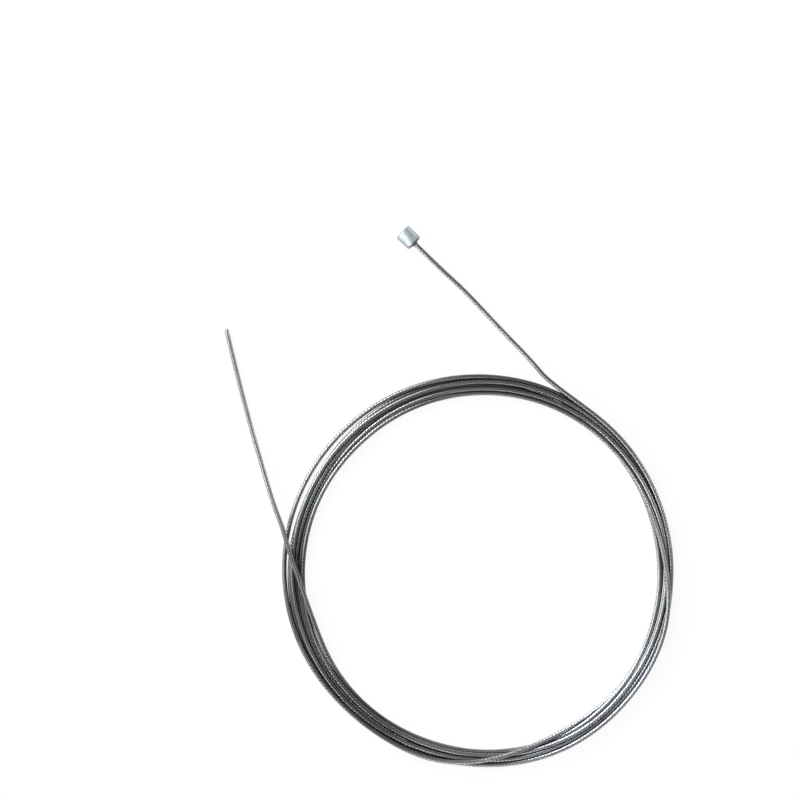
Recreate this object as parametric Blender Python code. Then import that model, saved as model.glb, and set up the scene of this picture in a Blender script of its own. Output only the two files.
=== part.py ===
"""A bicycle gear cable, wound into a flat coil.

One length of thin steel rope with a small barrel head cast on its end. From the head the
rope runs to the outer edge of the coil, goes round it a little under seven times, leaves it
over its top and ends in a bare tip. The whole lies on a surface: +Z is up, and the origin is
on the surface, under the middle of the part.
"""
import math

import bmesh
import bpy
from mathutils import Vector

# The rope, in metres.
CABLE_DIAMETER = 0.0012

# The cast head: a barrel that lies on its side, with the rope leaving its bearing face.
HEAD_DIAMETER = 0.0044
HEAD_LENGTH = 0.0044
HEAD_CHAMFER = 0.0003
HEAD_END_WALL = 0.0010
HEAD_HEADING = math.radians(-43.6)
HEAD_SIDES = 32

# The coil: its turns lie in a bundle of three layers, two, three and two side by side.
COIL_RADIUS = 0.0481
TURN_SLACK = 0.0002
COIL_STEPS = 64

# The six turns that show on the bundle's outline, each as its place outwards in turns, its
# layer, and the directions between which it shows, in degrees from straight down.
OUTLINE_TURNS = (
    (0.5, 0, -54, 126),
    (1.0, 1, 18, 162),
    (0.5, 2, 54, 234),
    (-0.5, 2, 126, 306),
    (-1.0, 1, 198, 342),
    (-0.5, 0, 234, 414),
)
LOBE_STEP = 36

# Air left between solids that touch on the real cable.
CLEARANCE = 0.0003

# Directions from the coil's middle to where its two free ends pass its outer edge.
HEAD_END_LEAVES_AT = math.radians(67.1)
TAIL_END_LEAVES_AT = math.radians(171.7)

# Free ends. Each point is an offset in x and y from where that end passes the coil's outer
# edge, and a lift: 0 lies on the surface, 1 is as high as the head's or the coil's hold.
# The head end goes from the coil to the head, whose bearing face comes last.
HEAD_END_POINTS = (
    (0.0000, 0.0000, 0.25),
    (-0.0025, 0.0025, 0.15),
    (-0.0080, 0.0087, 0.02),
    (-0.0152, 0.0162, 0.00),
    (-0.0238, 0.0253, 0.12),
    (-0.0302, 0.0313, 0.62),
)
HEAD_FACE = (-0.0373, 0.0381)
STRAIGHT_OUT = 0.0030

# The tail end goes from the coil's inner edge to the tip.
TAIL_END_POINTS = (
    (0.0049, -0.0147, 1.00),
    (0.0043, -0.0121, 1.00),
    (0.0032, -0.0088, 1.00),
    (0.0009, -0.0030, 1.00),
    (-0.0012, 0.0032, 0.98),
    (-0.0032, 0.0091, 0.82),
    (-0.0064, 0.0194, 0.40),
    (-0.0092, 0.0293, 0.09),
    (-0.0120, 0.0395, 0.00),
    (-0.0140, 0.0475, 0.00),
    (-0.0154, 0.0536, 0.00),
    (-0.0159, 0.0556, 0.00),
)
ROUTE_STEP = 0.0034

# Sizes that follow from the ones above.
CABLE_RADIUS = CABLE_DIAMETER / 2
TURN_PITCH = CABLE_DIAMETER + TURN_SLACK
LAYER_RISE = math.sqrt(CABLE_DIAMETER**2 - (TURN_PITCH / 2) ** 2)
LOBE_RADIUS = CABLE_RADIUS / math.cos(math.radians(LOBE_STEP / 2))
COIL_TOP = CABLE_DIAMETER + 2 * LAYER_RISE
COIL_OUTER_RADIUS = COIL_RADIUS + TURN_PITCH + LOBE_RADIUS
SOCKET_RADIUS = CABLE_RADIUS + CLEARANCE
SOCKET_DEPTH = HEAD_LENGTH - HEAD_END_WALL


def clear_scene():
    """Empties the scene."""
    for obj in list(bpy.data.objects):
        bpy.data.objects.remove(obj, do_unlink=True)


def make_material(name, colour, roughness):
    """A bare metal of one colour and roughness."""
    material = bpy.data.materials.new(name)
    material.use_nodes = True
    shader = material.node_tree.nodes["Principled BSDF"]
    shader.inputs["Base Color"].default_value = (*colour, 1.0)
    shader.inputs["Metallic"].default_value = 1.0
    shader.inputs["Roughness"].default_value = roughness
    return material


def add_object(name, data, material):
    """Puts a mesh or curve into the scene as one named sub-part."""
    data.materials.append(material)
    obj = bpy.data.objects.new(name, data)
    bpy.context.collection.objects.link(obj)
    return obj


def turn_profile(name, profile, steps, closed):
    """Spins an outline of (radius, height) points about Z into a mesh with a flat side at +X."""
    bm = bmesh.new()
    half_step = math.pi / steps
    corners = []
    for radius, height in profile:
        place = (radius * math.cos(half_step), radius * math.sin(half_step), height)
        corners.append(bm.verts.new(place))
    edges = [bm.edges.new(pair) for pair in zip(corners, corners[1:])]
    if closed:
        edges.append(bm.edges.new((corners[-1], corners[0])))
    bmesh.ops.spin(
        bm, geom=corners + edges, cent=(0, 0, 0), axis=(0, 0, 1), angle=2 * math.pi,
        steps=steps, use_merge=True,
    )
    bmesh.ops.remove_doubles(bm, verts=bm.verts, dist=1e-6)
    bmesh.ops.recalc_face_normals(bm, faces=bm.faces)
    mesh = bpy.data.meshes.new(name)
    bm.to_mesh(mesh)
    bm.free()
    mesh.shade_smooth()
    mesh.set_sharp_from_angle(angle=math.radians(30))
    return mesh


def smooth_route(chosen, step):
    """Evenly spaced points on a smooth curve through the chosen points, none of them lower."""
    ends = [2 * chosen[0] - chosen[1], *chosen, 2 * chosen[-1] - chosen[-2]]
    fine = []
    samples = 24
    for before, start, end, after in zip(ends, ends[1:], ends[2:], ends[3:]):
        for sample in range(samples):
            t = sample / samples
            fine.append(
                0.5 * (2 * start + (end - before) * t
                       + (2 * before - 5 * start + 4 * end - after) * t**2
                       + (3 * start - before - 3 * end + after) * t**3)
            )
    fine.append(chosen[-1])
    travelled = [0.0]
    for a, b in zip(fine, fine[1:]):
        travelled.append(travelled[-1] + (b - a).length)
    lowest = min(place.z for place in chosen)
    count = round(travelled[-1] / step)
    route = []
    at = 0
    for index in range(count + 1):
        target = travelled[-1] * index / count
        while at < len(fine) - 2 and travelled[at + 1] < target:
            at += 1
        share = (target - travelled[at]) / (travelled[at + 1] - travelled[at])
        place = fine[at].lerp(fine[at + 1], share)
        route.append(Vector((place.x, place.y, max(place.z, lowest))))
    return route


def tube(name, route, material):
    """A plain round length of rope along a route, with both ends closed."""
    curve = bpy.data.curves.new(name, "CURVE")
    curve.dimensions = "3D"
    curve.resolution_u = 1
    curve.bevel_depth = CABLE_RADIUS
    curve.bevel_resolution = 2
    curve.use_fill_caps = True
    spline = curve.splines.new("POLY")
    spline.points.add(len(route) - 1)
    for spline_point, place in zip(spline.points, route):
        spline_point.co = (*place, 1.0)
    return add_object(name, curve, material)


def leaving_point(direction):
    """Where a free end passes the coil's outer edge, in plan, from the coil's middle."""
    distance = COIL_OUTER_RADIUS + CLEARANCE + CABLE_RADIUS
    return Vector((distance * math.cos(direction), distance * math.sin(direction), 0.0))


def free_end(points, leaves_at, held_height):
    """The route's own points, from their offsets and lifts."""
    leaves = leaving_point(leaves_at)
    chosen = []
    for dx, dy, lift in points:
        height = CABLE_RADIUS + lift * (held_height - CABLE_RADIUS)
        chosen.append(leaves + Vector((dx, dy, height)))
    return chosen


def make_coil(material):
    """The coil's turns as one ring, with the outline of the turns that lie in it."""
    profile = []
    for place, layer, first, last in OUTLINE_TURNS:
        middle = COIL_RADIUS + place * TURN_PITCH
        height = CABLE_RADIUS + layer * LAYER_RISE
        for angle in range(first, last + 1, LOBE_STEP):
            outwards = LOBE_RADIUS * math.sin(math.radians(angle))
            down = LOBE_RADIUS * math.cos(math.radians(angle))
            profile.append((middle + outwards, height - down))
    mesh = turn_profile("cable_coil", profile, COIL_STEPS, closed=True)
    return add_object("cable_coil", mesh, material)


def make_head(material):
    """The cast barrel, with a blind hole in its bearing face for the rope's end."""
    corner = 1 / math.cos(math.pi / HEAD_SIDES)
    radius = HEAD_DIAMETER / 2
    profile = (
        (0.0, -HEAD_LENGTH),
        ((radius - HEAD_CHAMFER) * corner, -HEAD_LENGTH),
        (radius * corner, -HEAD_LENGTH + HEAD_CHAMFER),
        (radius * corner, -HEAD_CHAMFER),
        ((radius - HEAD_CHAMFER) * corner, 0.0),
        (SOCKET_RADIUS * corner, 0.0),
        (SOCKET_RADIUS * corner, -SOCKET_DEPTH),
        (0.0, -SOCKET_DEPTH),
    )
    mesh = turn_profile("cable_head", profile, HEAD_SIDES, closed=False)
    head = add_object("cable_head", mesh, material)
    head.location = leaving_point(HEAD_END_LEAVES_AT) + Vector((*HEAD_FACE, radius))
    head.rotation_euler = (0.0, math.pi / 2, HEAD_HEADING)
    return head


def make_head_end(material):
    """The free length between the coil's outer edge and the bottom of the head's hole."""
    axis_height = HEAD_DIAMETER / 2
    chosen = free_end(HEAD_END_POINTS, HEAD_END_LEAVES_AT, axis_height)
    face = leaving_point(HEAD_END_LEAVES_AT) + Vector((*HEAD_FACE, axis_height))
    heading = Vector((math.cos(HEAD_HEADING), math.sin(HEAD_HEADING), 0.0))
    seat = face - heading * (SOCKET_DEPTH - CLEARANCE)
    chosen += [face + heading * STRAIGHT_OUT, face, seat]
    return tube("head_end", smooth_route(chosen, ROUTE_STEP), material)


def make_tail_end(material):
    """The free length that leaves over the coil's top and comes down to its bare tip."""
    over_coil = COIL_TOP + CLEARANCE + CABLE_RADIUS
    chosen = free_end(TAIL_END_POINTS, TAIL_END_LEAVES_AT, over_coil)
    return tube("tail_end", smooth_route(chosen, ROUTE_STEP), material)


def stand_on_origin(parts):
    """Parents every sub-part to one empty that brings the middle of the part's base to the origin."""
    bpy.context.view_layer.update()
    shapes = bpy.context.evaluated_depsgraph_get()
    corners = []
    for part in parts:
        shape = part.evaluated_get(shapes)
        mesh = shape.to_mesh()
        corners += [part.matrix_world @ vertex.co for vertex in mesh.vertices]
        shape.to_mesh_clear()
    low = Vector([min(corner[axis] for corner in corners) for axis in range(3)])
    high = Vector([max(corner[axis] for corner in corners) for axis in range(3)])
    base = bpy.data.objects.new("cable_base", None)
    bpy.context.collection.objects.link(base)
    base.location = (-(low.x + high.x) / 2, -(low.y + high.y) / 2, -low.z)
    for part in parts:
        part.parent = base


def main():
    clear_scene()
    steel = make_material("steel_rope", (0.22, 0.22, 0.21), 0.35)
    zinc = make_material("cast_zinc", (0.58, 0.61, 0.64), 0.42)
    parts = [make_coil(steel), make_head(zinc), make_head_end(steel), make_tail_end(steel)]
    stand_on_origin(parts)


main()
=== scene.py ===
"""A bicycle gear cable, wound into a flat coil, as it lies on a white table.

The rope is one mesh: twelve wires laid round it, from the cast head through nearly seven turns
of the coil to its bare tip. The head is a small zinc barrel.
"""
import math

import bmesh
import bpy
import numpy as np
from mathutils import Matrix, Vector
from mathutils.kdtree import KDTree


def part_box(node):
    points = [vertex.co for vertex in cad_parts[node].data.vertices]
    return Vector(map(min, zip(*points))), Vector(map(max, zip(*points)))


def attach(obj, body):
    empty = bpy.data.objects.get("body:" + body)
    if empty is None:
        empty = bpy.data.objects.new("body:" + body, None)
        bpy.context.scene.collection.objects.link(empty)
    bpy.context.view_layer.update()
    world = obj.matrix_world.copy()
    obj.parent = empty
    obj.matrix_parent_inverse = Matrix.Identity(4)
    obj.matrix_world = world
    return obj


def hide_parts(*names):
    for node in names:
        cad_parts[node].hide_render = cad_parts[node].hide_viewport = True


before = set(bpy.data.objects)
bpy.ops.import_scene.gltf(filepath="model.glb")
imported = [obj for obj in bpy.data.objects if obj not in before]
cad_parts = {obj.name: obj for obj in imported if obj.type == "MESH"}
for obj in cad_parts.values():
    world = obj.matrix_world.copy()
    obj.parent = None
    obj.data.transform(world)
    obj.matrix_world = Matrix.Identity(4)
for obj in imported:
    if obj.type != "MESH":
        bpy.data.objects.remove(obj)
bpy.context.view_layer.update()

MM = 0.001

# The rope, in metres. Twelve wires show on it, and each goes once round it in one lay.
ROPE_DIAMETER = 0.0012
WIRES = 12
LAY_LENGTH = 0.0113

# One wire: the rope's radius at the wire's flat crest, and in the valley beside it. Its three
# points lie in the valley and at the crest's two edges, as shares of its width. Its sides are
# shaded as if they turned away from the crest by the tilt.
CREST_RADIUS = 0.000603
VALLEY_RADIUS = 0.000510
POINT_SHARES = (0.0, 0.26, 0.74)
FLANK_TILT = math.radians(68)

# The tip, where the wires are fused into one and the end is rounded off.
FUSED_LENGTH = 0.0032
FUSED_VALLEY_SHARE = 0.985
FUSED_SHRINKAGE = 0.00002
TIP_ROUNDING = 0.00045
TIP_RING_SHARES = (0.0, 0.35, 0.62, 0.82, 0.95)

# Where two turns lie closer than the gap, painted shade is laid on the steel between them. Rings
# nearer than the count are on the same turn, and only what lies level with a ring, within the
# length, is beside it.
SHADED_GAP = 0.00055
SAME_TURN_RINGS = 10
BESIDE_LENGTH = 0.0007

# The head, in metres: a round shoulder and a short collar at the rope, and at the far end a
# rim, a dish and a low boss in it. The tapers are what is left of the width.
HEAD_DIAMETER = 0.0044
HEAD_LENGTH = 0.0044
HEAD_HEADING = math.radians(-43.6)
HEAD_SIDES = 64
SHOULDER_SIZE = 0.00062
SHOULDER_STEPS = 6
COLLAR_RADIUS = 0.00098
COLLAR_LENGTH = 0.00038
COLLAR_TAPER = 0.70
COLLAR_LIP = 0.00006
FAR_EDGE_SIZE = 0.00026
FAR_EDGE_STEPS = 4
FAR_RIM_WIDTH = 0.00095
DISH_DEPTH = 0.00022
DISH_TAPER = 0.86
BOSS_INSET = 0.00045
BOSS_HEIGHT = 0.00012
BOSS_TAPER = 0.80
SMOOTH_BELOW = math.radians(32)

# The camera looks straight down. The place is from the coil's middle, in millimetres.
VIEW_PLACE = (-21.24, 44.54)
VIEW_WIDTH = 0.208
VIEW_DISTANCE = 0.90
SENSOR_WIDTH = 36.0

# The free length from the head to the coil, in millimetres from the coil's middle.
HEAD_ROUTE = (
    (-15.27, 83.04, 2.20),
    (-10.36, 78.32, 1.60),
    (-3.94, 72.31, 0.80),
    (4.66, 63.21, 0.60),
    (11.86, 55.71, 0.75),
)

# The free length from the coil to the bare tip, likewise.
TAIL_ROUTE = (
    (-54.34, 18.54, 2.35),
    (-57.46, 28.78, 1.40),
    (-60.32, 38.77, 0.80),
    (-62.43, 46.83, 0.60),
    (-64.45, 54.89, 0.60),
    (-65.91, 60.97, 0.60),
    (-66.35, 63.00, 0.60),
)

# The turns of the coil, clockwise. Each point is a direction in degrees from the coil's
# middle, a distance from it and a height, both in millimetres.
TURNS = (
    (   # comes from the head, lies outside, then second from the outside
        (72, 53.1, 1.2), (70, 52.3, 1.4), (67, 51.1, 1.7), (63, 50.6, 2.0), (57, 50.1, 2.3),
        (46, 49.8, 2.4), (23, 49.2, 2.0), (6, 49.1, 1.8), (-5, 49.1, 1.8), (-14, 49.2, 1.5),
        (-25, 49.2, 1.5), (-39, 49.3, 1.7), (-51, 49.6, 1.8), (-63, 49.7, 1.8),
        (-76, 49.4, 1.7), (-91, 48.9, 1.6), (-101, 48.6, 1.8), (-113, 48.5, 1.8),
        (-125, 48.6, 1.8), (-141, 48.8, 1.8), (-159, 49.1, 1.8), (-180, 49.3, 1.8),
        (-200, 49.3, 1.8), (-224, 49.1, 1.7), (-239, 49.0, 1.6), (-251, 49.0, 1.6),
        (-269, 49.3, 1.7), (-282, 49.6, 1.8),
    ),
    (   # sinks to the bottom and comes up near the inside
        (67, 49.5, 1.8), (46, 48.9, 1.7), (31, 48.3, 1.6), (13, 47.9, 1.2), (0, 47.9, 0.6),
        (-20, 48.3, 0.6), (-51, 48.8, 0.6), (-71, 48.7, 0.6), (-91, 48.3, 0.6),
        (-111, 47.8, 0.6), (-136, 47.7, 0.6), (-159, 47.5, 0.6), (-180, 47.2, 0.6),
        (-205, 47.1, 0.7), (-219, 47.0, 1.1), (-229, 47.1, 1.6), (-249, 47.3, 1.7),
        (-269, 47.5, 1.7), (-284, 47.6, 1.7),
    ),
    (   # lies over the middle, then innermost
        (67, 47.8, 1.7), (46, 47.8, 1.7), (35, 47.9, 2.2), (23, 47.9, 2.7), (13, 47.9, 2.4),
        (4, 47.9, 1.9), (-6, 47.9, 1.8), (-20, 48.2, 1.7), (-51, 48.5, 1.6), (-67, 48.6, 1.6),
        (-81, 48.1, 1.6), (-91, 47.7, 1.6), (-110, 47.0, 1.6), (-136, 46.8, 1.6),
        (-159, 46.7, 1.6), (-180, 46.5, 1.6), (-209, 46.3, 1.5), (-234, 46.2, 1.4),
        (-249, 46.2, 1.3), (-269, 46.4, 1.2), (-282, 46.6, 1.3),
    ),
    (   # climbs from the inside over the others to the outside, then sinks under them
        (67, 46.9, 1.5), (46, 46.7, 1.7), (28, 46.6, 1.8), (16, 46.7, 2.0), (8, 46.9, 2.7),
        (4, 47.3, 3.0), (0, 47.9, 3.0), (-5, 48.5, 3.0), (-11, 49.4, 2.8), (-17, 50.2, 2.3),
        (-25, 50.3, 2.0), (-39, 49.9, 1.8), (-47, 50.0, 1.8), (-59, 50.5, 1.8), (-71, 50.5, 1.7),
        (-84, 50.0, 1.4), (-93, 49.7, 1.0), (-103, 49.5, 0.7), (-120, 49.5, 0.6),
        (-136, 49.7, 0.6), (-159, 50.1, 0.6), (-178, 50.1, 0.6), (-188, 49.8, 0.6),
        (-196, 49.3, 0.6), (-211, 49.0, 0.6), (-221, 49.1, 0.6), (-229, 49.7, 0.6),
        (-237, 50.1, 0.6), (-256, 50.0, 0.6), (-269, 50.0, 0.6), (-284, 49.6, 0.6),
    ),
    (   # slips inwards at the bottom, then crosses over them all and lies outermost
        (67, 49.5, 0.6), (46, 48.5, 0.6), (23, 47.8, 0.6), (10, 46.9, 0.6), (0, 46.4, 0.6),
        (-20, 46.7, 0.6), (-43, 47.1, 0.6), (-53, 46.9, 0.7), (-61, 46.7, 1.1), (-71, 46.6, 1.8),
        (-76, 47.1, 2.4), (-81, 47.8, 3.0), (-91, 49.2, 3.3), (-96, 50.2, 3.0),
        (-101, 51.0, 2.4), (-106, 51.2, 2.0), (-113, 50.4, 1.8), (-121, 49.6, 1.8),
        (-136, 49.8, 1.8), (-151, 50.4, 1.5), (-165, 51.1, 1.0), (-180, 51.4, 0.7),
        (-195, 51.5, 0.6), (-224, 51.3, 0.6), (-239, 51.2, 0.8), (-256, 50.9, 1.4),
        (-269, 50.6, 1.6), (-282, 50.3, 1.3),
    ),
    (   # lies under the outside, then shows between the others
        (67, 50.0, 0.8), (46, 49.7, 0.8), (23, 49.1, 0.6), (0, 49.1, 0.6), (-12, 49.3, 0.6),
        (-25, 49.6, 0.6), (-46, 50.0, 0.6), (-61, 50.3, 0.6), (-76, 50.0, 0.6),
        (-91, 49.4, 0.6), (-106, 48.8, 0.6), (-120, 48.3, 0.6), (-136, 48.5, 0.6),
        (-159, 48.6, 0.6), (-180, 48.4, 0.7), (-200, 48.0, 1.4), (-214, 47.9, 1.5),
        (-229, 48.1, 1.2), (-244, 48.4, 0.8), (-269, 48.6, 0.6), (-284, 48.4, 0.6),
    ),
    (   # comes up inside, lies innermost, and rises over the others as the tail
        (67, 48.2, 0.6), (56, 47.3, 0.6), (46, 46.6, 0.6), (35, 46.4, 0.6), (21, 46.5, 0.6),
        (12, 46.3, 0.9), (4, 46.2, 1.6), (-4, 46.3, 1.8), (-20, 46.3, 1.8),
        (-46, 47.4, 1.8), (-67, 47.7, 1.8), (-78, 47.4, 1.6),
        (-84, 47.2, 1.3), (-91, 47.0, 1.0), (-100, 46.4, 0.7), (-106, 46.2, 0.6),
        (-120, 46.1, 0.6), (-136, 46.1, 0.7), (-148, 45.7, 1.3), (-158, 45.3, 2.1),
        (-162, 45.3, 2.5), (-165, 45.4, 2.7), (-168, 45.8, 2.9), (-171, 46.1, 3.0),
        (-174, 46.5, 3.1), (-176, 46.9, 3.2), (-178, 47.3, 3.3), (-180, 47.9, 3.4),
        (-181, 48.5, 3.4), (-183, 49.0, 3.4), (-185, 49.7, 3.4), (-189, 51.2, 3.2),
        (-192, 52.7, 3.0),
    ),
)

# How the turns settle. They are followed at even stations, and pushed apart until their middles
# are the strand distance apart. In each sweep they are also pulled back towards the listed
# points, less in the late sweeps and hard at both ends, and straightened. The angle is in
# degrees and the distance in millimetres; the rest are counts, and shares of a full step.
STATION_ANGLE = 1.5
STATIONS_PER_TURN = round(360 / STATION_ANGLE)
STRAND_DISTANCE = 1.21
SWEEPS = 500
LATE_SWEEPS_AFTER = 0.7
LATE_PULL = 0.3
PULL = 0.06
PULL_AT_ENDS = 0.5
HELD_AT_START = 14
HELD_AT_END = 32
PULL_ON_HEIGHT = 0.5
STRAIGHTEN_RADIUS = 0.3
STRAIGHTEN_HEIGHT = 0.4
PUSH = 0.35

# The path inside the head: how far behind its bearing face, in millimetres.
DEPTHS_IN_HEAD = (3.0, 1.2, 0.0)

# How finely the free ends are curved, and how the whole path is straightened where they join.
CURVE_STEPS = 16
JOIN_PASSES = 4
STRAIGHTEN_JOINS = 0.25

# The colours of the steel and of what lies on it, of the shade and the highlight painted on it,
# and those of the zinc and the shade painted on it.
WORN_STEEL = (0.54, 0.54, 0.535, 1)
CLEAN_STEEL = (0.64, 0.64, 0.635, 1)
# A painted highlight and painted shade, laid on stretches of the coil.
PAINTED_HIGHLIGHT_STEEL = (0.84, 0.86, 0.91, 1)
PAINTED_SHADE_STEEL = (0.22, 0.215, 0.20, 1)
WARM_TARNISH = (0.42, 0.35, 0.30, 1)
DUST = (0.16, 0.15, 0.14, 1)
# Near-black for grease and painted shade in the valleys between wires, and for painted shade
# where turns touch.
GREASE_AND_PAINTED_SHADE = (0.035, 0.032, 0.028, 1)
GREY_ZINC = (0.60, 0.68, 0.71, 1)
PALE_ZINC = (0.74, 0.82, 0.85, 1)
# Painted shade on the zinc's shoulder, far edge and lower sides.
ZINC_PAINTED_SHADE = (0.07, 0.07, 0.075, 1)
PIT_DIRT = (0.03, 0.03, 0.03, 1)

# Stretches of the rope that carry painted shade and a painted highlight, and the coil without
# its ends, which bounds the shade: a place in x and y from the coil's middle, the distance from
# it where the stretch begins to fade, and the one where it ends, in millimetres.
SHADED_TOP_STRETCH = (-2, 49, 14, 38)
SHADED_LEFT_STRETCH = (-44, -20, 22, 46)
COIL_WITHOUT_ENDS = (0, 0, 52, 57)
HIGHLIGHT_STRETCH = (31, -38, 10, 30)

# The table: how much of its white is its own light, and how much of that metal mirrors.
TABLE_SIZE = 6.0
TABLE_COLOUR = (0.95, 0.95, 0.945, 1)
OWN_LIGHT = 0.92
MIRRORED_LIGHT = 0.6

# Soft boxes: direction and elevation in degrees, width and height in metres, radiance, colour.
SOFT_BOXES = {
    "long_window": (130, 34, 0.76, 0.50, 7.5, (0.86, 0.90, 1.0)),
    "next_window": (172, 28, 0.50, 0.24, 7.0, (0.85, 0.91, 1.0)),
    "far_window": (218, 30, 0.50, 0.22, 5.5, (0.95, 0.98, 1.0)),
    "low_glow": (264, 30, 0.55, 0.22, 4.0, (0.99, 0.99, 1.0)),
    "room_glow": (16, 30, 0.45, 0.20, 3.5, (1.0, 0.99, 0.96)),
    "overhead_strip": (184, 60, 0.72, 0.20, 4.2, (0.85, 0.92, 1.0)),
}
ROOM_COLOUR = (0.99, 1.0, 0.965, 1)
ROOM_STRENGTH = 0.31

# The points of each ring of the rope, and where they lie round it, counted in wires.
POINTS_PER_WIRE = len(POINT_SHARES)
POINTS_AROUND = WIRES * POINTS_PER_WIRE
WIRE_PLACES = np.repeat(np.arange(WIRES), POINTS_PER_WIRE) + np.tile(POINT_SHARES, WIRES)


def middle_of(node):
    """The middle of a CAD node's box."""
    low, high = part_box(node)
    return (Vector(low) + Vector(high)) / 2


COIL_MIDDLE = middle_of("cable_coil")
HEAD_MIDDLE = middle_of("cable_head")
HEAD_DIRECTION = Vector((math.cos(HEAD_HEADING), math.sin(HEAD_HEADING), 0.0))
BEARING_FACE = HEAD_MIDDLE + HEAD_DIRECTION * (HEAD_LENGTH / 2)


# --- camera ---

def place_camera():
    """The camera straight above, with the photograph's frame."""
    data = bpy.data.cameras.new("overhead_camera")
    data.sensor_width = SENSOR_WIDTH
    data.lens = data.sensor_width * VIEW_DISTANCE / VIEW_WIDTH
    camera = bpy.data.objects.new("overhead_camera", data)
    bpy.context.collection.objects.link(camera)
    camera.location = (
        COIL_MIDDLE.x + VIEW_PLACE[0] * MM, COIL_MIDDLE.y + VIEW_PLACE[1] * MM, VIEW_DISTANCE,
    )
    bpy.context.scene.camera = camera


# --- the rope's path ---

def planned_turns():
    """The listed points of all turns, read off at even stations along the way round."""
    start = TURNS[0][0][0]
    travel, radius, height = [], [], []
    for turn, points in enumerate(TURNS):
        for direction, distance, lift in points:
            travel.append(360 * turn + start - direction)
            radius.append(distance)
            height.append(lift)
    stations = np.arange(int(travel[-1] // STATION_ANGLE) + 1) * STATION_ANGLE
    return (
        np.radians(start - stations),
        np.interp(stations, travel, radius),
        np.interp(stations, travel, height),
    )


def ease(values, weight):
    """One step of straightening, as the rope's own stiffness does."""
    eased = values.copy()
    eased[1:-1] += weight * (values[:-2] + values[2:] - 2 * values[1:-1])
    return eased


def settle_turns():
    """Lets the turns push each other apart until they lie beside and on each other."""
    direction, plan_radius, plan_height = planned_turns()
    radius, height = plan_radius.copy(), plan_height.copy()
    count = len(radius)
    hold = np.full(count, PULL)
    hold[:HELD_AT_START] = PULL_AT_ENDS
    hold[-HELD_AT_END:] = PULL_AT_ENDS
    lowest = ROPE_DIAMETER / 2 / MM
    for sweep in range(SWEEPS):
        share = LATE_PULL if sweep > LATE_SWEEPS_AFTER * SWEEPS else 1.0
        radius += share * hold * (plan_radius - radius)
        height += share * PULL_ON_HEIGHT * hold * (plan_height - height)
        for _ in range(2):
            radius = ease(radius, STRAIGHTEN_RADIUS)
            height = ease(height, STRAIGHTEN_HEIGHT)
        for _ in range(3):
            for apart in range(STATIONS_PER_TURN, count, STATIONS_PER_TURN):
                outwards = radius[apart:] - radius[:-apart]
                upwards = height[apart:] - height[:-apart]
                distance = np.hypot(outwards, upwards) + 1e-9
                push = PUSH * np.clip(STRAND_DISTANCE - distance, 0, None) / distance
                radius[apart:] += push * outwards
                height[apart:] += push * upwards
                radius[:-apart] -= push * outwards
                height[:-apart] -= push * upwards
            height = np.maximum(height, lowest)
    return np.stack([radius * np.cos(direction), radius * np.sin(direction), height], axis=1)


def through_points(points):
    """A smooth curve through points, without the first and the last of them."""
    curve = []
    for before, start, end, after in zip(points, points[1:], points[2:], points[3:]):
        for step in range(CURVE_STEPS):
            t = step / CURVE_STEPS
            curve.append(
                0.5 * (2 * start + (end - before) * t
                       + (2 * before - 5 * start + 4 * end - after) * t**2
                       + (3 * start - before - 3 * end + after) * t**3)
            )
    return np.array(curve)


def rope_centres():
    """The middles of the rope's rings, evenly spaced by a twelfth of a lay."""
    coil = settle_turns()
    face = (np.array(BEARING_FACE) - np.array(COIL_MIDDLE)) / MM
    face[2] = BEARING_FACE.z / MM
    head_side = [face - depth * np.array(HEAD_DIRECTION) for depth in DEPTHS_IN_HEAD]
    head_side += [np.array(point) for point in HEAD_ROUTE]
    head_side += [coil[0], coil[1]]
    tail_side = [coil[-2], coil[-1]]
    tail_side += [np.array(point) for point in TAIL_ROUTE]
    tail_side.append(2 * tail_side[-1] - tail_side[-2])
    way = np.concatenate([
        through_points(head_side), coil[:-1], through_points(tail_side),
        [np.array(TAIL_ROUTE[-1])],
    ])
    for _ in range(JOIN_PASSES):
        way = ease(way, STRAIGHTEN_JOINS)
    travelled = np.concatenate([[0.0], np.cumsum(np.linalg.norm(np.diff(way, axis=0), axis=1))])
    rings = round(travelled[-1] * MM / (LAY_LENGTH / WIRES)) + 1
    wanted = np.linspace(0.0, travelled[-1], rings)
    centres = np.stack([np.interp(wanted, travelled, way[:, axis]) for axis in range(3)], axis=1)
    centres *= MM
    centres[:, 0] += COIL_MIDDLE.x
    centres[:, 1] += COIL_MIDDLE.y
    return centres


# --- the rope's mesh ---

def directions(centres):
    """Along the rope at each ring, and outwards from its middle at each of the ring's points."""
    along = np.gradient(centres, axis=0)
    along /= np.linalg.norm(along, axis=1)[:, None]
    sideways = np.cross(along, (0.0, 0.0, 1.0))
    sideways /= np.linalg.norm(sideways, axis=1)[:, None]
    upwards = np.cross(sideways, along)
    turn = np.radians(360.0 / WIRES) * WIRE_PLACES
    outwards = (np.cos(turn)[None, :, None] * sideways[:, None, :]
                + np.sin(turn)[None, :, None] * upwards[:, None, :])
    return along, outwards


def fused_shares(count, spacing):
    """How far the wires are fused into one at each ring: 0 along the rope, 1 at its tip."""
    from_tip = spacing * np.arange(count)[::-1]
    fused = np.clip(1.0 - from_tip / FUSED_LENGTH, 0.0, 1.0)
    return fused**2 * (3 - 2 * fused)


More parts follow.
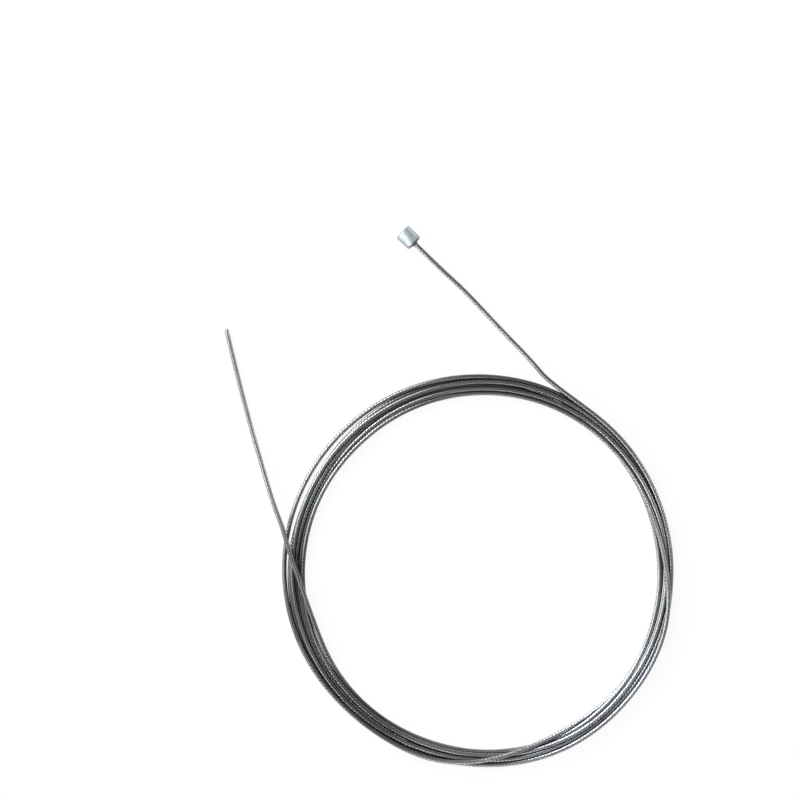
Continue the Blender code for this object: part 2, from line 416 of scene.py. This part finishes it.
def rope_rings(centres, along, outwards, fused):
    """The rings of points round the rope and over its tip, and the way that each point faces."""
    in_valley = np.arange(POINTS_AROUND) % POINTS_PER_WIRE == 0
    valley = VALLEY_RADIUS + fused * (CREST_RADIUS * FUSED_VALLEY_SHARE - VALLEY_RADIUS)
    crest = CREST_RADIUS - fused * FUSED_SHRINKAGE
    radius = np.where(in_valley[None, :], valley[:, None], crest[:, None])
    rings = list(centres[:-1, None, :] + radius[:-1, :, None] * outwards[:-1])
    facing = list(outwards[:-1])
    last = centres[-1] - along[-1] * TIP_ROUNDING
    for share in TIP_RING_SHARES:
        narrow = math.sqrt(1 - share**2)
        middle = last + along[-1] * TIP_ROUNDING * share
        rings.append(middle + narrow * radius[-1][:, None] * outwards[-1])
        facing.append(narrow * outwards[-1] + share * along[-1])
    return np.array(rings), np.array(facing)


def nearness(centres, along, rings):
    """How close each ring's points lie to another turn: 1 where they touch, 0 well clear."""
    reach = 2 * ROPE_DIAMETER + SHADED_GAP
    tree = KDTree(len(centres))
    for index, place in enumerate(centres):
        tree.insert(place, index)
    tree.balance()
    near = np.zeros((len(rings), POINTS_AROUND))
    for index, ring in enumerate(rings):
        at = min(index, len(centres) - 1)
        found = np.array([other for _, other, _ in tree.find_range(centres[at], reach)])
        found = found[abs(found - at) > SAME_TURN_RINGS]
        if len(found) == 0:
            continue
        away = ring[:, None, :] - centres[found][None, :, :]
        lengthwise = np.einsum("pnk,nk->pn", away, along[found])
        across = np.linalg.norm(away - lengthwise[..., None] * along[found][None], axis=2)
        across = np.where(abs(lengthwise) < BESIDE_LENGTH, across, math.inf)
        gap = across.min(axis=1) - ROPE_DIAMETER / 2
        near[index] = np.clip(1 - gap / SHADED_GAP, 0.0, 1.0)
    return near


def side_corners(ring_count):
    """The side faces' four corners, as rings and points. The wires move on by one each ring."""
    ring, point = np.meshgrid(np.arange(ring_count - 1), np.arange(POINTS_AROUND), indexing="ij")
    ring, point = ring.ravel(), point.ravel()
    moved = point + POINTS_PER_WIRE
    return (
        (ring, point), (ring + 1, moved % POINTS_AROUND),
        (ring + 1, (moved + 1) % POINTS_AROUND), (ring, (point + 1) % POINTS_AROUND),
    )


def end_faces(ring_count):
    """The fans of faces that close the rope inside the head and at its tip."""
    inside = ring_count * POINTS_AROUND
    last_ring = inside - POINTS_AROUND
    pairs = [(point, (point + 1) % POINTS_AROUND) for point in range(POINTS_AROUND)]
    return (
        [(inside, point, after) for point, after in pairs]
        + [(inside + 1, last_ring + after, last_ring + point) for point, after in pairs]
    )


def map_wires(mesh, corners, spacing):
    """Maps wires across the rope and millimetres along it. The end faces stay at zero."""
    ring, point = corners[0]
    wire_from = WIRE_PLACES[(point - POINTS_PER_WIRE * ring) % POINTS_AROUND]
    wire_to = wire_from + np.diff((*POINT_SHARES, 1.0))[point % POINTS_PER_WIRE]
    begins = ring * spacing / MM
    ends = (ring + 1) * spacing / MM
    across = np.stack([wire_from, wire_from, wire_to, wire_to], axis=1)
    lengthwise = np.stack([begins, ends, ends, begins], axis=1)
    places = np.zeros((len(mesh.loops), 2), dtype=np.float32)
    places[:across.size] = np.stack([across.ravel(), lengthwise.ravel()], axis=1)
    mesh.uv_layers.new(name="wires").data.foreach_set("uv", places.ravel())


def round_off_wires(mesh, corners, along, outwards, facing, fused):
    """Sets normals that leave each wire's crest flat and turn its sides away from it."""
    count = len(facing)
    at = np.minimum(np.arange(count), len(along) - 1)
    slant = math.atan(2 * math.pi * CREST_RADIUS / LAY_LENGTH)
    beside = (math.cos(slant) * np.cross(outwards[at], along[at][:, None, :])
              - math.sin(slant) * along[at][:, None, :])
    tilt = FLANK_TILT * (1.0 - np.append(fused, np.ones(count))[:count])
    place_in_wire = corners[0][1] % POINTS_PER_WIRE
    leaving = -(place_in_wire == 0).astype(float)
    arriving = (place_in_wire == POINTS_PER_WIRE - 1).astype(float)
    sides = []
    for (ring, point), lean in zip(corners, (leaving, leaving, arriving, arriving)):
        angle = (lean * tilt[ring])[:, None]
        sides.append(facing[ring, point] * np.cos(angle) + beside[ring, point] * np.sin(angle))
    inside_end = np.tile(-along[0], (3 * POINTS_AROUND, 1))
    tip_end = np.array([
        normal for point in range(POINTS_AROUND)
        for normal in (along[-1], facing[-1][(point + 1) % POINTS_AROUND], facing[-1][point])
    ])
    sides = np.stack(sides, axis=1).reshape(-1, 3)
    mesh.normals_split_custom_set(np.concatenate([sides, inside_end, tip_end]))


def lay_rope(centres):
    """Twelve wires laid round the path as one closed mesh, smooth on each wire."""
    spacing = float(np.linalg.norm(centres[1] - centres[0]))
    along, outwards = directions(centres)
    fused = fused_shares(len(centres), spacing)
    rings, facing = rope_rings(centres, along, outwards, fused)
    corners = side_corners(len(rings))
    places = np.concatenate([rings.reshape(-1, 3), centres[:1], centres[-1:]])
    sides = np.stack([ring * POINTS_AROUND + point for ring, point in corners], axis=1)

    mesh = bpy.data.meshes.new("wire_rope")
    mesh.from_pydata(places.tolist(), [], sides.tolist() + end_faces(len(rings)))
    mesh.shade_smooth()
    mesh.update()
    map_wires(mesh, corners, spacing)
    near = np.zeros(len(places))
    near[:-2] = nearness(centres, along, rings).ravel()
    mesh.attributes.new("touching", "FLOAT", "POINT").data.foreach_set("value", near)
    round_off_wires(mesh, corners, along, outwards, facing, fused)

    rope = bpy.data.objects.new("wire_rope", mesh)
    bpy.context.collection.objects.link(rope)
    return rope


# --- the head ---

def select_only(obj):
    """Leaves one object selected and active."""
    bpy.ops.object.select_all(action="DESELECT")
    obj.select_set(True)
    bpy.context.view_layer.objects.active = obj


def pick(obj, kind, wanted):
    """Selects the faces or edges for which wanted(element) holds, in edit mode."""
    bpy.ops.mesh.select_all(action="DESELECT")
    bpy.ops.mesh.select_mode(type=kind)
    shape = bmesh.from_edit_mesh(obj.data)
    for element in {"FACE": shape.faces, "EDGE": shape.edges}[kind]:
        element.select_set(wanted(element))
    shape.select_flush_mode()
    bmesh.update_edit_mesh(obj.data)


def cast_head():
    """The barrel: a round body with a soft shoulder and a short collar where the rope leaves."""
    radius = HEAD_DIAMETER / 2
    bpy.ops.object.select_all(action="DESELECT")
    bpy.ops.mesh.primitive_cylinder_add(vertices=HEAD_SIDES, radius=radius, depth=HEAD_LENGTH)
    head = bpy.context.object
    head.name = "barrel_head"
    bpy.ops.object.mode_set(mode="EDIT")

    def draw_out(distance, taper):
        """Extrudes the selected face along the barrel, and narrows it."""
        bpy.ops.mesh.extrude_region_move(TRANSFORM_OT_translate={"value": (0, 0, distance)})
        bpy.ops.transform.resize(value=(taper, taper, 1.0))

    pick(head, "FACE", lambda face: face.normal.z > 0.9)
    bpy.ops.mesh.inset(thickness=radius - COLLAR_RADIUS)
    draw_out(COLLAR_LENGTH, COLLAR_TAPER)
    bpy.ops.mesh.inset(thickness=COLLAR_LIP)
    pick(head, "FACE", lambda face: face.normal.z < -0.9)
    bpy.ops.mesh.inset(thickness=FAR_RIM_WIDTH)
    draw_out(DISH_DEPTH, DISH_TAPER)
    bpy.ops.mesh.inset(thickness=BOSS_INSET)
    draw_out(-BOSS_HEIGHT, BOSS_TAPER)

    def round_off(height, size, steps):
        """Bevels the barrel's outer edge at one end."""
        def on_rim(edge):
            return all(
                abs(corner.co.z - height) < 1e-5 and corner.co.xy.length > radius * 0.98
                for corner in edge.verts
            )

        pick(head, "EDGE", on_rim)
        bpy.ops.mesh.bevel(offset=size, segments=steps, profile=0.5, affect="EDGES")

    round_off(HEAD_LENGTH / 2, SHOULDER_SIZE, SHOULDER_STEPS)
    round_off(-HEAD_LENGTH / 2, FAR_EDGE_SIZE, FAR_EDGE_STEPS)
    bpy.ops.object.mode_set(mode="OBJECT")
    head.rotation_euler = (0.0, math.pi / 2, HEAD_HEADING)
    head.location = HEAD_MIDDLE
    select_only(head)
    bpy.ops.object.transform_apply(location=True, rotation=True, scale=True)
    bpy.ops.object.shade_smooth_by_angle(angle=SMOOTH_BELOW)
    return head


# --- materials ---

class Value:
    """A number on a socket, for writing shader maths as expressions."""

    def __init__(self, nodes, socket):
        self.nodes = nodes
        self.socket = socket

    def maths(self, operation, first, second=None):
        """One step of maths, on one number or two."""
        given = {0: first} if second is None else {0: first, 1: second}
        return self.nodes.value("ShaderNodeMath", {"operation": operation}, given)

    def __add__(self, other):
        return self.maths("ADD", self, other)

    __radd__ = __add__

    def __sub__(self, other):
        return self.maths("SUBTRACT", self, other)

    def __rsub__(self, other):
        return self.maths("SUBTRACT", other, self)

    def __mul__(self, other):
        return self.maths("MULTIPLY", self, other)

    __rmul__ = __mul__

    def __abs__(self):
        return self.maths("ABSOLUTE", self)

    def part(self):
        """What follows the decimal point."""
        return self.maths("FRACT", self)

    def most(self, other):
        """The larger of two."""
        return self.maths("MAXIMUM", self, other)

    def within(self, low, high):
        """0 below low and 1 above high, with a soft step between."""
        settings = {"interpolation_type": "SMOOTHSTEP"}
        given = {"Value": self, "From Min": low, "From Max": high}
        return self.nodes.value("ShaderNodeMapRange", settings, given, "Result")


class Nodes:
    """The nodes of one material or world."""

    def __init__(self, tree):
        self.tree = tree
        tree.nodes.clear()

    def add(self, kind, settings=None, sockets=None):
        """A node of one kind, its settings set first, then its sockets' values and links."""
        node = self.tree.nodes.new(kind)
        for name, setting in (settings or {}).items():
            setattr(node, name, setting)
        for name, given in (sockets or {}).items():
            if isinstance(name, int):
                socket = node.inputs[name]
            else:
                socket = next(s for s in node.inputs if s.name == name and s.enabled)
            if isinstance(given, Value):
                self.tree.links.new(given.socket, socket)
            elif isinstance(given, bpy.types.NodeSocket):
                self.tree.links.new(given, socket)
            else:
                socket.default_value = given
        return node

    def value(self, kind, settings=None, sockets=None, output=0):
        """As add, and gives the node's output as a number."""
        return Value(self, self.add(kind, settings, sockets).outputs[output])

    def mix(self, factor, first, second):
        """A colour between two."""
        node = self.add("ShaderNodeMix", {"data_type": "RGBA"},
                        {"Factor": factor, "A": first, "B": second})
        return next(s for s in node.outputs if s.enabled)

    def noise(self, place, scale, detail, roughness):
        """Soft random patches, from 0 to 1."""
        return self.value("ShaderNodeTexNoise", None, {
            "Vector": place, "Scale": scale, "Detail": detail, "Roughness": roughness}, "Fac")


def new_material(name):
    """An empty material, and its nodes."""
    material = bpy.data.materials.new(name)
    material.use_nodes = True
    return material, Nodes(material.node_tree)


def finish_metal(nodes, colour, roughness, bump, metallic=1.0):
    """A metal's surface, bare or, where metallic is lowered, partly not metal, as under the
    zinc's painted shade.
    """
    metal = nodes.add("ShaderNodeBsdfPrincipled", None, {
        "Base Color": colour, "Metallic": metallic, "Roughness": roughness, "Normal": bump})
    nodes.add("ShaderNodeOutputMaterial", None, {"Surface": metal.outputs["BSDF"]})


def laid_wire_metal():
    """Bright drawn steel wire with dust specks, near-black grease and painted shade in the
    valleys between the wires, painted shade where turns touch, and stretches of painted shade
    and of a painted highlight along the coil.
    """
    material, nodes = new_material("laid_steel_wire")
    wires = nodes.add("ShaderNodeUVMap", {"uv_map": "wires"}).outputs["UV"]
    split = nodes.add("ShaderNodeSeparateXYZ", None, {"Vector": wires})
    across = Value(nodes, split.outputs["X"])
    place = nodes.add("ShaderNodeTexCoord").outputs["Object"]
    crown = 1.0 - abs(across.part() * 2.0 - 1.0)
    stretched = nodes.add("ShaderNodeVectorMath", {"operation": "MULTIPLY"},
                          {0: wires, 1: (9.0, 0.55, 0.0)}).outputs[0]
    drawn = nodes.noise(stretched, 1.0, 4.0, 0.6)
    patches = nodes.noise(place, 95.0, 3.0, 0.5)
    specks = nodes.noise(place, 2600.0, 2.0, 0.5)
    touching = Value(nodes, nodes.add("ShaderNodeAttribute", {"attribute_name": "touching"})
                     .outputs["Fac"])

    def stretch(x, y, full, ends):
        """1 on a stretch of the rope, and 0 away from it."""
        away = nodes.value("ShaderNodeVectorMath", {"operation": "DISTANCE"}, {
            0: place, 1: (COIL_MIDDLE.x + x * MM, COIL_MIDDLE.y + y * MM, 0.0)}, "Value")
        return 1.0 - away.within(full * MM, ends * MM)

    # Painted shade on two stretches of the coil, kept off its ends, and a painted highlight on a
    # third.
    shaded_stretch = (stretch(*SHADED_TOP_STRETCH) * 0.62).most(stretch(*SHADED_LEFT_STRETCH) * 0.82)
    shaded_stretch = shaded_stretch * stretch(*COIL_WITHOUT_ENDS)
    highlight_stretch = stretch(*HIGHLIGHT_STRETCH)
    # Near-black in the valleys between wires, partly grease and partly painted shade, and
    # painted shade where turns lie against each other.
    grease_and_shade = (1.0 - crown.within(0.16, 0.54)) * (0.7 + 0.3 * patches)
    grease_and_shade = grease_and_shade.most(touching.within(0.2, 0.85) * 0.96)
    worn = nodes.mix(patches.within(0.35, 0.7), WORN_STEEL, CLEAN_STEEL)
    highlighted_steel = nodes.mix(highlight_stretch, worn, PAINTED_HIGHLIGHT_STEEL)
    shaded_steel = nodes.mix(shaded_stretch, highlighted_steel, PAINTED_SHADE_STEEL)
    warm = nodes.mix(patches.within(0.52, 0.72) * 0.3, shaded_steel, WARM_TARNISH)
    dusty = nodes.mix(specks.within(0.62, 0.74) * 0.5, warm, DUST)
    colour = nodes.mix(grease_and_shade, dusty, GREASE_AND_PAINTED_SHADE)
    roughness = 0.15 + 0.10 * drawn + 0.25 * grease_and_shade
    bump = nodes.add("ShaderNodeBump", None, {
        "Strength": 0.2, "Distance": 0.00001, "Height": drawn * 0.7 + specks * 0.3})
    finish_metal(nodes, colour, roughness, bump.outputs["Normal"])
    return material


def cast_zinc_metal():
    """Satin zinc as it comes from the mould, with drag marks along it and small pits, and
    painted shade on its shoulder, its far edge and its lower sides.
    """
    material, nodes = new_material("cast_zinc_barrel")
    place = nodes.add("ShaderNodeTexCoord").outputs["Object"]
    turned = nodes.add("ShaderNodeMapping", {"vector_type": "TEXTURE"}, {
        "Vector": place, "Location": tuple(HEAD_MIDDLE), "Rotation": (0, 0, HEAD_HEADING)})
    local = turned.outputs["Vector"]
    drag = nodes.add("ShaderNodeVectorMath", {"operation": "MULTIPLY"},
                     {0: local, 1: (0.12, 1.0, 1.0)}).outputs[0]
    marks = nodes.noise(drag, 5200.0, 4.0, 0.62)
    clouds = nodes.noise(local, 900.0, 3.0, 0.5)
    pits = nodes.value(
        "ShaderNodeTexVoronoi", None, {"Vector": local, "Scale": 1500.0}, "Distance")
    pitted = (1.0 - pits.within(0.10, 0.26)) * clouds.within(0.5, 0.62)
    axes = nodes.add("ShaderNodeSeparateXYZ", None, {"Vector": local})
    lengthwise = Value(nodes, axes.outputs["X"])
    below = 0.0 - Value(nodes, axes.outputs["Z"])
    # Painted shade: a near-black, less metallic sheet on the shoulder, the far edge and the
    # lower sides.
    shoulder = lengthwise.within(0.00160, 0.0020)
    far_edge = (0.0 - lengthwise).within(0.0019, 0.0022)
    sides = below.within(-0.0017, -0.0005)
    zinc_shade = (shoulder.most(far_edge) * 0.95).most(sides * 0.7)
    satin = nodes.mix(clouds.within(0.3, 0.7), GREY_ZINC, PALE_ZINC)
    shaded_zinc = nodes.mix(zinc_shade, satin, ZINC_PAINTED_SHADE)
    colour = nodes.mix(pitted * 0.9, shaded_zinc, PIT_DIRT)
    roughness = 0.37 + 0.14 * marks + 0.2 * pitted
    bump = nodes.add("ShaderNodeBump", None, {
        "Strength": 0.5, "Distance": 0.00004,
        "Height": marks * 0.5 + clouds * 0.5 - pitted * 1.2})
    finish_metal(nodes, colour, roughness, bump.outputs["Normal"], 1.0 - zinc_shade * 0.8)
    return material


def wear(obj, material):
    """Gives an object its one material."""
    obj.data.materials.clear()
    obj.data.materials.append(material)


# --- the table, the light ---

def lay_table():
    """A white table that keeps a soft shadow."""
    bpy.ops.object.select_all(action="DESELECT")
    bpy.ops.mesh.primitive_plane_add(size=TABLE_SIZE, location=(0.0, 0.0, 0.0))
    table = bpy.context.object
    table.name = "white_table"
    material, nodes = new_material("white_table_top")
    rays = nodes.add("ShaderNodeLightPath")
    seen = Value(nodes, rays.outputs["Is Camera Ray"])
    seen = seen.most(Value(nodes, rays.outputs["Is Transmission Ray"]))
    seen = seen.most(Value(nodes, rays.outputs["Is Glossy Ray"]) * MIRRORED_LIGHT)
    lit = nodes.add("ShaderNodeBsdfDiffuse", None, {"Color": TABLE_COLOUR})
    white = nodes.add("ShaderNodeEmission", None, {"Color": (1, 1, 1, 1), "Strength": 1.0})
    top = nodes.add("ShaderNodeMixShader", None, {
        0: seen * OWN_LIGHT, 1: lit.outputs["BSDF"], 2: white.outputs["Emission"]})
    nodes.add("ShaderNodeOutputMaterial", None, {"Surface": top.outputs["Shader"]})
    wear(table, material)


def shine(name, azimuth, elevation, width, height, radiance, colour):
    """A soft box that faces the coil from a metre away; angles in degrees, sizes in metres."""
    data = bpy.data.lights.new(name, "AREA")
    data.shape = "RECTANGLE"
    data.size = width
    data.size_y = height
    data.energy = radiance * math.pi * width * height
    data.color = colour
    lamp = bpy.data.objects.new(name, data)
    bpy.context.collection.objects.link(lamp)
    azimuth, elevation = math.radians(azimuth), math.radians(elevation)
    way = Vector((
        math.cos(elevation) * math.cos(azimuth), math.cos(elevation) * math.sin(azimuth),
        math.sin(elevation),
    ))
    lamp.location = Vector((COIL_MIDDLE.x, COIL_MIDDLE.y, 0.0)) + way
    lamp.rotation_euler = way.to_track_quat("Z", "Y").to_euler()


def light_studio():
    """The soft boxes, and a pale room round them."""
    for name, box in SOFT_BOXES.items():
        shine(name, *box)
    world = bpy.data.worlds.new("pale_room")
    bpy.context.scene.world = world
    world.use_nodes = True
    nodes = Nodes(world.node_tree)
    room = nodes.add("ShaderNodeBackground", None, {
        "Color": ROOM_COLOUR, "Strength": ROOM_STRENGTH})
    nodes.add("ShaderNodeOutputWorld", None, {"Surface": room.outputs["Background"]})


def main():
    """Builds the cable, hides the CAD parts it replaces, hangs it on the root body, and lays it
    out to be seen.
    """
    place_camera()
    centres = rope_centres()
    rope = lay_rope(centres)
    head = cast_head()
    wear(rope, laid_wire_metal())
    wear(head, cast_zinc_metal())
    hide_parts("cable_coil", "head_end", "tail_end")
    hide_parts("cable_head")
    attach(rope, "root")
    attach(head, "root")
    lay_table()
    light_studio()
    bpy.context.scene.view_settings.view_transform = "Standard"


main()
